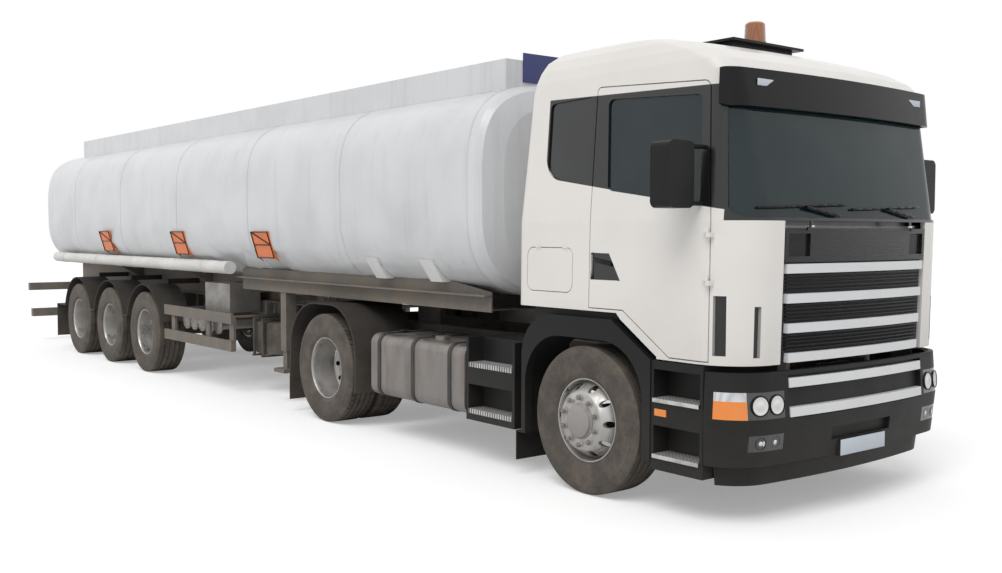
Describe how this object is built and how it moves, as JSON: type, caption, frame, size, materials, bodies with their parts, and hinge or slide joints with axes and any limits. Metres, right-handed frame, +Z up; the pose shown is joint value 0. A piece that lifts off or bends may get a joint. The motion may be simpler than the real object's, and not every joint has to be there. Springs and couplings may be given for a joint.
{
  "type": "articulated tanker truck",
  "caption": "Articulated tanker truck: cab-over tractor with tilting cab, doors, steering and lid, hinged to a tank semi-trailer with bottom outlets.",
  "frame": {"origin": "middle of the whole truck's box in length and width, on the ground", "axes": "+X forward, +Y the vehicle's left, +Z up"},
  "size_m": [15.2495, 3.06, 3.388],
  "materials": {
    "cab_paint": "gloss",
    "dark_plastic": "matte",
    "grey_plastic": "matte",
    "silver_bar": "satin",
    "frame_steel": "matte",
    "trailer_steel": "matte",
    "cast_dark": "matte",
    "tank_paint": "satin",
    "fuel_alloy": "brushed",
    "strap_black": "matte",
    "tread_alloy": "matte",
    "tyre_rubber": "matte",
    "lamp_clear": "clear",
    "beacon_amber": "translucent",
    "dark_glass": "tinted",
    "trim_fabric": "woven",
    "dash_plastic": "matte",
    "white_metal": "satin",
    "board_orange": "satin",
    "tube_white": "satin",
    "valve_metal": "cast"
  },
  "bodies": {
    "chassis": {"chassis_frame": "frame_steel", "front_axle": "cast_dark", "drive_axle": "cast_dark", "engine_block": "cast_dark", "fifth_wheel": "cast_dark", "fuel_tanks": "fuel_alloy", "tank_straps": "frame_steel", "side_boxes": "grey_plastic", "step_treads": "tread_alloy", "rear_mudguards": "grey_plastic", "front_bumper": "grey_plastic", "bumper_bars": "silver_bar", "lamps": "lamp_clear", "wheel_arches": "grey_plastic"},
    "cab": {"cab_shell": "cab_paint", "cab_roof": "cab_paint", "windscreen": "dark_glass", "sleeper_windows": "dark_glass", "sun_visor": "dark_plastic", "corner_panels": "cab_paint", "roof_fittings": "dark_plastic", "beacon": "beacon_amber", "dashboard": "dash_plastic", "seats": "trim_fabric"},
    "front_lid": {"front_lid": "dark_plastic", "lid_bars": "silver_bar"},
    "trailer": {"tank_shell": "tank_paint", "tank_coaming": "tank_paint", "tank_brackets": "white_metal", "sign_boards": "board_orange", "trailer_frame": "trailer_steel", "landing_legs": "trailer_steel", "trailer_axles": "cast_dark", "trailer_mudguards": "grey_plastic", "hose_tubes": "tube_white", "side_guards": "trailer_steel", "valve_gear": "valve_metal", "spare_wheel": "tyre_rubber", "rear_beam": "trailer_steel"},
    "door_left": {"door_left": "cab_paint", "door_glass_left": "dark_glass", "mirror_left": "dark_plastic"},
    "locker_hatch_left": {"locker_hatch_left": "cab_paint"},
    "knuckle_left": {"knuckle_left": "cast_dark"},
    "front_wheel_left": {"front_wheel_left": "tyre_rubber"},
    "drive_wheel_left": {"drive_wheel_left": "tyre_rubber"},
    "trailer_wheel_1_left": {"trailer_wheel_1_left": "tyre_rubber"},
    "trailer_wheel_2_left": {"trailer_wheel_2_left": "tyre_rubber"},
    "trailer_wheel_3_left": {"trailer_wheel_3_left": "tyre_rubber"},
    "door_right": {"door_right": "cab_paint", "door_glass_right": "dark_glass", "mirror_right": "dark_plastic"},
    "locker_hatch_right": {"locker_hatch_right": "cab_paint"},
    "knuckle_right": {"knuckle_right": "cast_dark"},
    "front_wheel_right": {"front_wheel_right": "tyre_rubber"},
    "drive_wheel_right": {"drive_wheel_right": "tyre_rubber"},
    "trailer_wheel_1_right": {"trailer_wheel_1_right": "tyre_rubber"},
    "trailer_wheel_2_right": {"trailer_wheel_2_right": "tyre_rubber"},
    "trailer_wheel_3_right": {"trailer_wheel_3_right": "tyre_rubber"}
  },
  "joints": [
    {"name": "cab_tilt", "type": "hinge", "parent": "chassis", "child": "cab", "pos_m": [7.497, 0, 0.8], "axis": [0, 1, 0], "range_deg": [0, 60]},
    {"name": "front_lid_hinge", "type": "hinge", "parent": "cab", "child": "front_lid", "pos_m": [7.585, 0, 1.902], "axis": [0, -1, 0], "range_deg": [0, 80]},
    {"name": "door_left_hinge", "type": "hinge", "parent": "cab", "child": "door_left", "pos_m": [7.277, 1.228, 1.69], "axis": [0, 0, -1], "range_deg": [0, 75]},
    {"name": "locker_hatch_left_hinge", "type": "hinge", "parent": "cab", "child": "locker_hatch_left", "pos_m": [5.78, 1.214, 1.749], "axis": [1, 0, 0], "range_deg": [0, 90]},
    {"name": "steer_left", "type": "hinge", "parent": "chassis", "child": "knuckle_left", "pos_m": [6.175, 0.96, 0.53], "axis": [0, 0, 1], "range_deg": [-40, 40]},
    {"name": "front_wheel_left_spin", "type": "hinge", "parent": "knuckle_left", "child": "front_wheel_left", "pos_m": [6.175, 1.0775, 0.53], "axis": [0, 1, 0], "continuous": true},
    {"name": "drive_wheel_left_spin", "type": "hinge", "parent": "chassis", "child": "drive_wheel_left", "pos_m": [2.475, 0.9015, 0.53], "axis": [0, 1, 0], "continuous": true},
    {"name": "trailer_wheel_1_left_spin", "type": "hinge", "parent": "trailer", "child": "trailer_wheel_1_left", "pos_m": [-2.293, 1.0515, 0.53], "axis": [0, 1, 0], "continuous": true},
    {"name": "trailer_wheel_2_left_spin", "type": "hinge", "parent": "trailer", "child": "trailer_wheel_2_left", "pos_m": [-3.653, 1.0515, 0.53], "axis": [0, 1, 0], "continuous": true},
    {"name": "trailer_wheel_3_left_spin", "type": "hinge", "parent": "trailer", "child": "trailer_wheel_3_left", "pos_m": [-5.013, 1.0515, 0.53], "axis": [0, 1, 0], "continuous": true},
    {"name": "door_right_hinge", "type": "hinge", "parent": "cab", "child": "door_right", "pos_m": [7.277, -1.228, 1.69], "axis": [0, 0, 1], "range_deg": [0, 75]},
    {"name": "locker_hatch_right_hinge", "type": "hinge", "parent": "cab", "child": "locker_hatch_right", "pos_m": [5.78, -1.214, 1.749], "axis": [-1, 0, 0], "range_deg": [0, 90]},
    {"name": "steer_right", "type": "hinge", "parent": "chassis", "child": "knuckle_right", "pos_m": [6.175, -0.96, 0.53], "axis": [0, 0, 1], "range_deg": [-40, 40]},
    {"name": "front_wheel_right_spin", "type": "hinge", "parent": "knuckle_right", "child": "front_wheel_right", "pos_m": [6.175, -1.0775, 0.53], "axis": [0, 1, 0], "continuous": true},
    {"name": "drive_wheel_right_spin", "type": "hinge", "parent": "chassis", "child": "drive_wheel_right", "pos_m": [2.475, -0.9015, 0.53], "axis": [0, 1, 0], "continuous": true},
    {"name": "trailer_wheel_1_right_spin", "type": "hinge", "parent": "trailer", "child": "trailer_wheel_1_right", "pos_m": [-2.293, -1.0515, 0.53], "axis": [0, 1, 0], "continuous": true},
    {"name": "trailer_wheel_2_right_spin", "type": "hinge", "parent": "trailer", "child": "trailer_wheel_2_right", "pos_m": [-3.653, -1.0515, 0.53], "axis": [0, 1, 0], "continuous": true},
    {"name": "trailer_wheel_3_right_spin", "type": "hinge", "parent": "trailer", "child": "trailer_wheel_3_right", "pos_m": [-5.013, -1.0515, 0.53], "axis": [0, 1, 0], "continuous": true},
    {"name": "trailer_turn", "type": "hinge", "parent": "chassis", "child": "trailer", "pos_m": [3.075, 0, 1.2], "axis": [0, 0, 1], "range_deg": [-90, 90]}
  ],
  "couplings": [
    {"joint": "steer_right", "follows": "steer_left", "ratio": 1}
  ]
}
